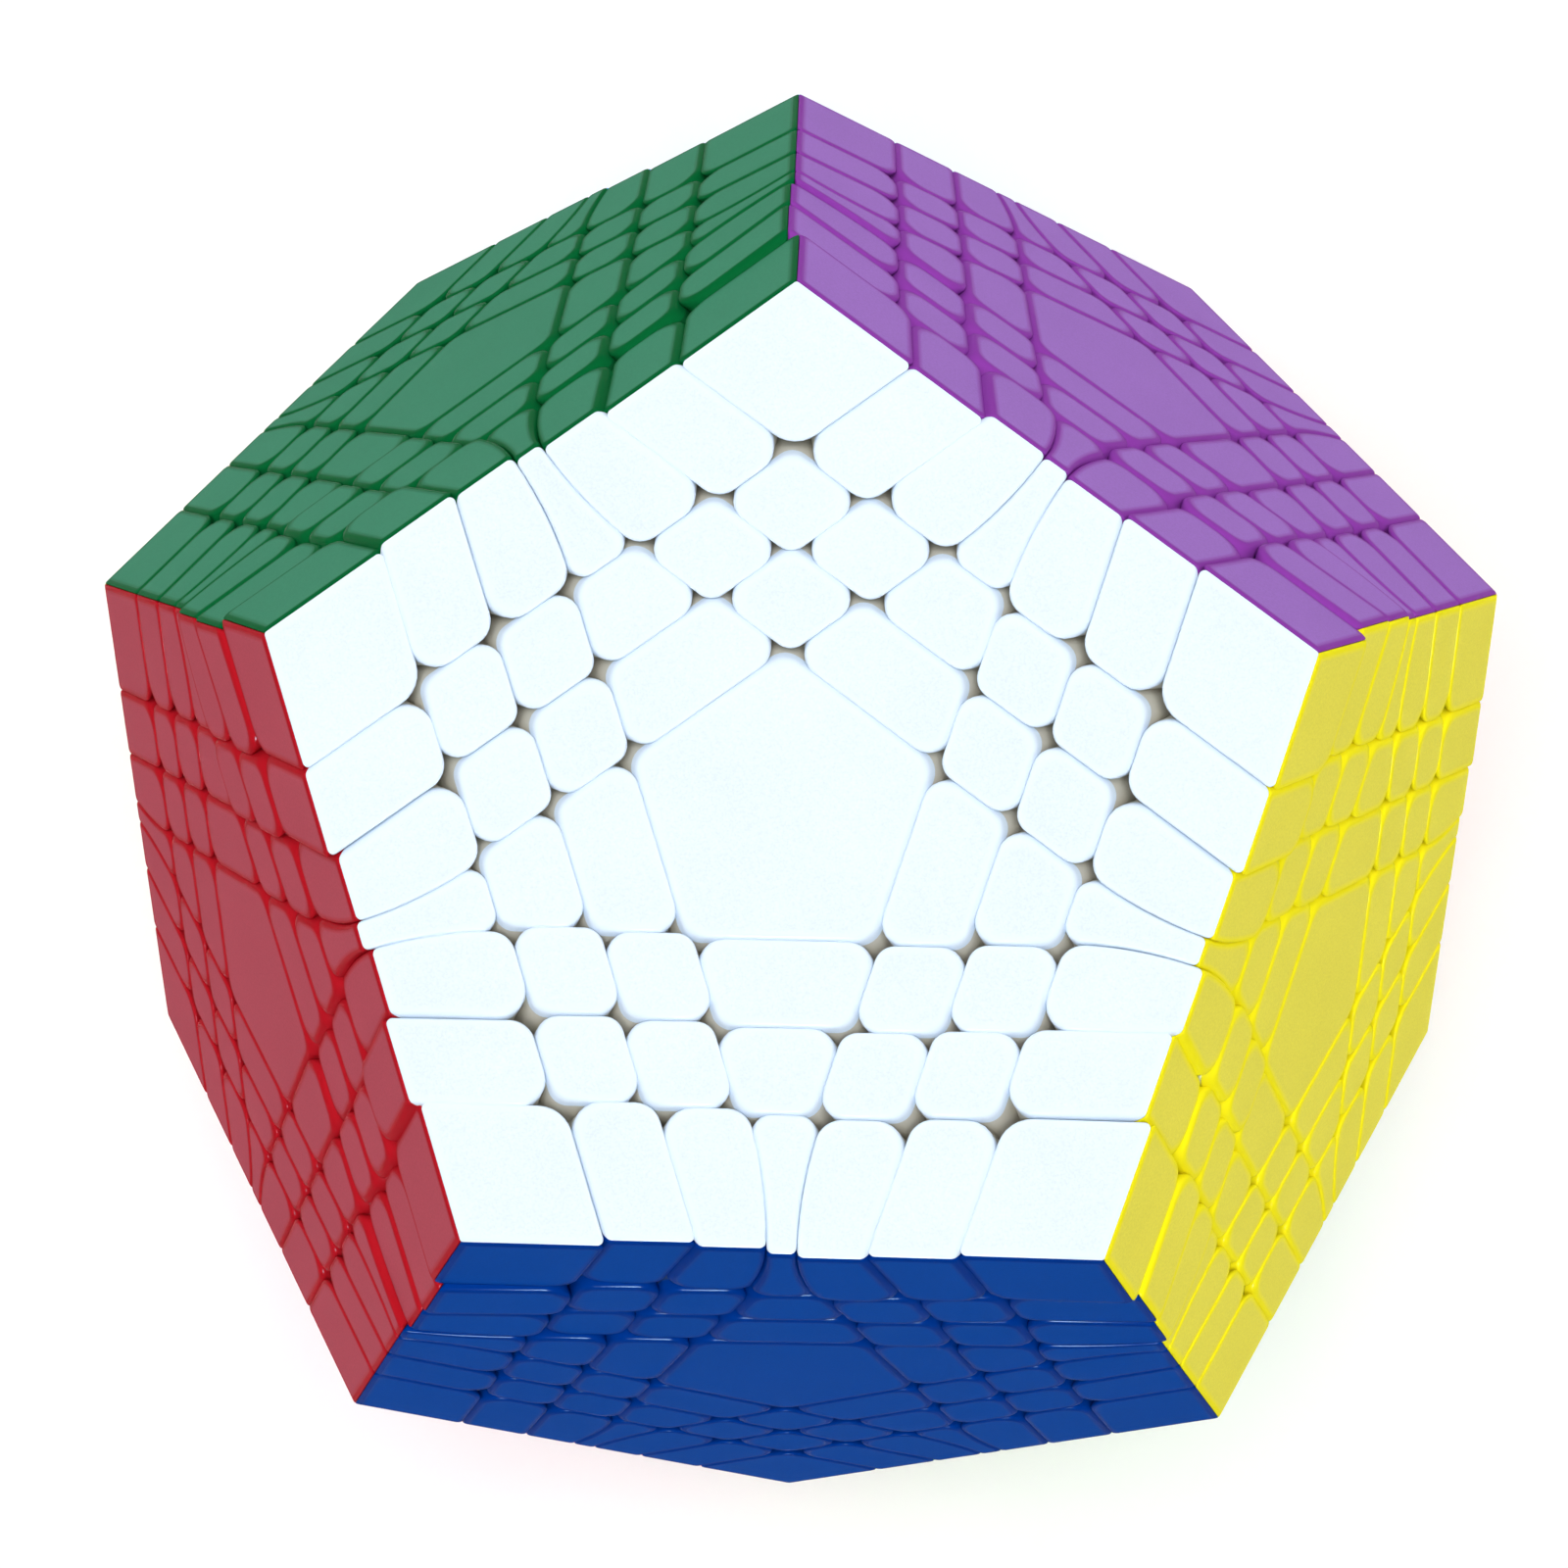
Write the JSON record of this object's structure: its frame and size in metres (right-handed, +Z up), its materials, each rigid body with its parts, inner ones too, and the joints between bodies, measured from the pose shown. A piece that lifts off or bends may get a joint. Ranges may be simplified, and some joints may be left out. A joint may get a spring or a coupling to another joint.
{
  "type": "dodecahedron twisty puzzle",
  "caption": "Stickerless dodecahedral twisty puzzle: coloured faces of small tiles, cut into layers that turn about the face axes.",
  "frame": {"origin": "middle of the grey face, which is the face that the puzzle stands on", "axes": "+Z up, from the grey face to the white one; -Y towards the side that the white and blue faces share; +Y towards the white face's far corner; +X to the right of that"},
  "size_m": [0.1204, 0.1266, 0.1024],
  "materials": {
    "white_plastic": "fine matt top, glossy edges",
    "blue_plastic": "fine matt top, glossy edges",
    "yellow_plastic": "fine matt top, glossy edges",
    "purple_plastic": "fine matt top, glossy edges",
    "green_plastic": "fine matt top, glossy edges",
    "red_plastic": "fine matt top, glossy edges",
    "lime_plastic": "fine matt top, glossy edges",
    "orange_plastic": "fine matt top, glossy edges",
    "sky_plastic": "fine matt top, glossy edges",
    "cream_plastic": "fine matt top, glossy edges",
    "pink_plastic": "fine matt top, glossy edges",
    "grey_plastic": "fine matt top, glossy edges",
    "core_plastic": "moulded",
    "steel": "zinc plated"
  },
  "bodies": {
    "root": {"core": "core_plastic", "white_axis_screw": "steel", "white_axis_spring": "steel", "lime_axis_screw": "steel", "lime_axis_spring": "steel", "cream_axis_screw": "steel", "cream_axis_spring": "steel", "blue_face_pieces": "blue_plastic", "blue_centre": "blue_plastic", "yellow_face_pieces": "yellow_plastic", "yellow_centre": "yellow_plastic", "purple_face_pieces": "purple_plastic", "purple_centre": "purple_plastic", "green_face_pieces": "green_plastic", "green_centre": "green_plastic", "red_face_pieces": "red_plastic", "red_centre": "red_plastic", "orange_face_pieces": "orange_plastic", "orange_centre": "orange_plastic", "sky_face_pieces": "sky_plastic", "sky_centre": "sky_plastic", "pink_face_pieces": "pink_plastic", "pink_centre": "pink_plastic", "grey_face_pieces": "grey_plastic", "grey_centre": "grey_plastic", "corner_blue_red_pink": "blue_plastic", "corner_yellow_orange_purple": "yellow_plastic", "corner_purple_orange_sky": "purple_plastic", "corner_purple_sky_green": "purple_plastic", "corner_orange_grey_sky": "orange_plastic"},
    "white_layer_1": {"white_layer_1_ring": "white_plastic", "white_centre_cap": "white_plastic", "white_centre_post": "core_plastic", "corner_white_blue_yellow": "white_plastic", "corner_white_yellow_purple": "white_plastic", "corner_white_purple_green": "white_plastic", "corner_white_green_red": "white_plastic", "corner_white_red_blue": "white_plastic"},
    "white_layer_2": {"white_layer_2_ring": "white_plastic"},
    "white_layer_3": {"white_layer_3_ring": "white_plastic"},
    "lime_layer_1": {"lime_layer_1_ring": "lime_plastic", "lime_centre_cap": "lime_plastic", "lime_centre_post": "core_plastic", "corner_blue_lime_yellow": "blue_plastic", "corner_blue_pink_lime": "blue_plastic", "corner_yellow_lime_orange": "yellow_plastic", "corner_lime_pink_grey": "lime_plastic", "corner_lime_grey_orange": "lime_plastic"},
    "lime_layer_2": {"lime_layer_2_ring": "lime_plastic"},
    "lime_layer_3": {"lime_layer_3_ring": "lime_plastic"},
    "cream_layer_1": {"cream_layer_1_ring": "cream_plastic", "cream_centre_cap": "cream_plastic", "cream_centre_post": "core_plastic", "corner_green_sky_cream": "green_plastic", "corner_green_cream_red": "green_plastic", "corner_red_cream_pink": "red_plastic", "corner_sky_grey_cream": "sky_plastic", "corner_cream_grey_pink": "cream_plastic"},
    "cream_layer_2": {"cream_layer_2_ring": "cream_plastic"},
    "cream_layer_3": {"cream_layer_3_ring": "cream_plastic"}
  },
  "joints": [
    {"name": "white_layer_1_turn", "type": "hinge", "parent": "root", "child": "white_layer_1", "pos_m": [0, 0, 0.05122], "axis": [0, 0, 1], "continuous": true},
    {"name": "white_layer_2_turn", "type": "hinge", "parent": "root", "child": "white_layer_2", "pos_m": [0, 0, 0.05122], "axis": [0, 0, 1], "continuous": true},
    {"name": "white_layer_3_turn", "type": "hinge", "parent": "root", "child": "white_layer_3", "pos_m": [0, 0, 0.05122], "axis": [0, 0, 1], "continuous": true},
    {"name": "lime_layer_1_turn", "type": "hinge", "parent": "root", "child": "lime_layer_1", "pos_m": [0, 0, 0.05122], "axis": [0.5257, -0.7236, -0.4472], "continuous": true},
    {"name": "lime_layer_2_turn", "type": "hinge", "parent": "root", "child": "lime_layer_2", "pos_m": [0, 0, 0.05122], "axis": [0.5257, -0.7236, -0.4472], "continuous": true},
    {"name": "lime_layer_3_turn", "type": "hinge", "parent": "root", "child": "lime_layer_3", "pos_m": [0, 0, 0.05122], "axis": [0.5257, -0.7236, -0.4472], "continuous": true},
    {"name": "cream_layer_1_turn", "type": "hinge", "parent": "root", "child": "cream_layer_1", "pos_m": [0, 0, 0.05122], "axis": [-0.8507, 0.2764, -0.4472], "continuous": true},
    {"name": "cream_layer_2_turn", "type": "hinge", "parent": "root", "child": "cream_layer_2", "pos_m": [0, 0, 0.05122], "axis": [-0.8507, 0.2764, -0.4472], "continuous": true},
    {"name": "cream_layer_3_turn", "type": "hinge", "parent": "root", "child": "cream_layer_3", "pos_m": [0, 0, 0.05122], "axis": [-0.8507, 0.2764, -0.4472], "continuous": true}
  ]
}
